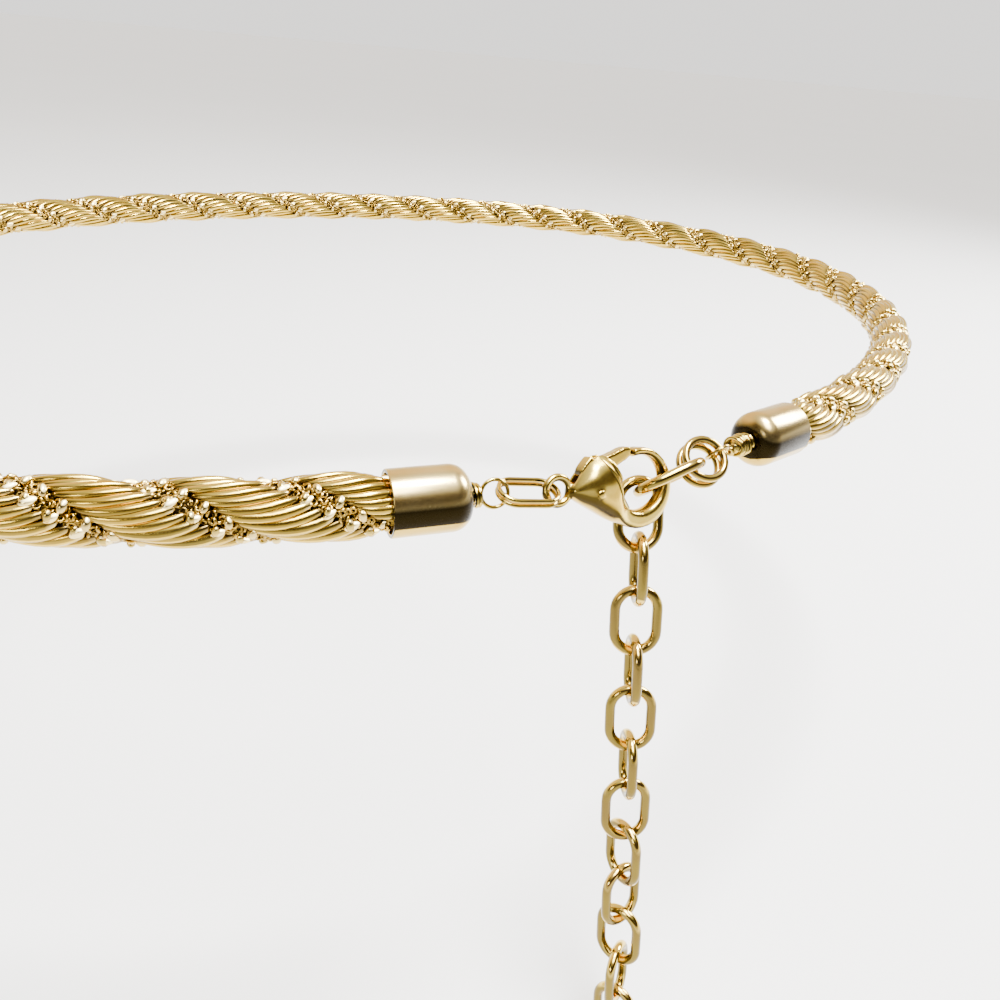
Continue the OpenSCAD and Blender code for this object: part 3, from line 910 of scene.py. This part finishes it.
def onFace(x, y, side):
    start = claspFrame @ metres((x, y, 8 * side))
    along = claspFrame.to_3x3() @ Vector((0, 0, -side))
    hit = surface.ray_cast(start, along)[0]
    return hit + along * clasp["sink"] * mm if hit else None


def ridgeRadius(share):
    return clasp["ridge"] * mm * min(1, 0.3 + 4 * share, 0.3 + 4 * (1 - share))


claspParts = [claspMesh]
for side in (1, -1):
    for shift in (-clasp["ridgeStep"] / 2, clasp["ridgeStep"] / 2):
        spots = [onFace(x + shift, y, side) for x, y in curved(ridgeLine)]
        claspParts.append(sweep("ridge", [spot for spot in spots if spot], ridgeRadius, 12, False))
    dome = blobMesh("dome", clasp["pinDome"], 7, 20)
    dome.transform(Matrix.Translation(onFace(*clasp["pin"], side))
                   @ Matrix.Rotation(math.radians(clasp["lean"]), 4, "X"))
    claspParts.append(dome)
tailRing = sweep("tail", circle(clasp["tailOuter"], clasp["tailWire"]),
                 clasp["tailWire"] / 2 * mm, 18)
tailRing.transform(claspFrame @ Matrix.Translation(metres(clasp["tail"])))
claspParts.append(tailRing)
settle(joined("claspBody", claspParts, metals["clasp"]), "chain", "clasp", "clasp_body")

leverMesh = softened(evenMesh("clasp_lever", lever["voxel"]), lever["rounds"], lever["swell"])
settle(meshObject("claspLever", leverMesh, metals["clasp"]), "clasp_lever", "clasp",
       "clasp_lever")
print("clasp done")


# Floor and light

ground = {"reach": 60, "below": 0.004, "dim": (0.9, 0.895, 0.885), "pale": (0.93, 0.925, 0.915),
          "cloudScale": 3.0, "rough": 0.8}
lights = {
    "keyLight": {"at": (0.05, -0.12, 0.7), "target": (0, -0.06, 0), "size": 0.22, "watts": 18},
    "tipLight": {"at": (0.8, -0.05, 0.5), "target": (0, -0.06, 0), "size": 0.34, "watts": 20},
    "sideLight": {"at": (-0.75, -0.45, 0.3), "target": (-0.05, -0.05, 0), "size": 0.2,
                  "watts": 1.5},
}
daylight = {"along": (0.15, 0.35, -1), "strength": 3.4, "angle": 25}
room = {"horizon": (0.97, 0.965, 0.955), "front": (0.03, 0.02, 0.01), "back": (0.8, 0.64, 0.44),
        "overhead": (0.5, 0.5, 0.5), "seen": (0.81, 0.79, 0.765), "strength": 2.0}


def floorMaterial():
    material, graph = emptyMaterial("floorPale")
    cloud = graph.add("ShaderNodeTexNoise", None, {
        "Vector": graph.add("ShaderNodeTexCoord")["Object"], "Scale": ground["cloudScale"]})["Fac"]
    surface = graph.add("ShaderNodeBsdfPrincipled", None, {
        "Base Color": graph.mix(cloud, ground["dim"], ground["pale"]),
        "Roughness": ground["rough"]})
    graph.add("ShaderNodeOutputMaterial", None, {"Surface": surface["BSDF"]})
    return material


def addLight(name, kind, direction):
    light = bpy.data.objects.new(name, bpy.data.lights.new(name, kind))
    light.rotation_euler = direction.to_track_quat("-Z", "Y").to_euler()
    scene.collection.objects.link(light)
    return light


reach = ground["reach"]
floorMesh = bpy.data.meshes.new("floor")
floorMesh.from_pydata([(-reach, -reach, 0), (reach, -reach, 0), (reach, reach, 0),
                       (-reach, reach, 0)], [], [(0, 1, 2, 3)])
floorMesh.transform(Matrix.Translation((0, 0, cadBounds[0][2] - ground["below"])))
meshObject("floor", floorMesh, floorMaterial())

for name, lamp in lights.items():
    light = addLight(name, "AREA", Vector(lamp["target"]) - Vector(lamp["at"]))
    light.location = lamp["at"]
    light.data.shape, light.data.size, light.data.energy = "DISK", lamp["size"], lamp["watts"]
sun = addLight("sunLight", "SUN", Vector(daylight["along"]))
sun.data.energy, sun.data.angle = daylight["strength"], math.radians(daylight["angle"])

# The room that the metal mirrors is pale round the horizon and grey overhead, with a brown wall
# on the camera's side and a light one behind the chain. What shows past the chain is plain
scene.world = bpy.data.worlds.new("paleRoom")
scene.world.use_nodes = True
scene.world.node_tree.nodes.clear()
sky = Graph(scene.world.node_tree)
ray = sky.add("ShaderNodeSeparateXYZ", None, {0: sky.add("ShaderNodeTexCoord")["Generated"]})
wall = sky.mix(ray["Y"].ramp(0.2, 0.6), room["front"], room["back"])
wall = sky.mix(ray["Z"].ramp(0.09, 0.22), room["horizon"], wall)
mirrored = sky.mix(ray["Z"].ramp(0.6, 0.95), wall, room["overhead"])
shown = sky.mix(sky.add("ShaderNodeLightPath")["Is Camera Ray"], mirrored, room["seen"])
air = sky.add("ShaderNodeBackground", None, {"Color": shown, "Strength": room["strength"]})
sky.add("ShaderNodeOutputWorld", None, {"Surface": air["Background"]})
print("stage done")
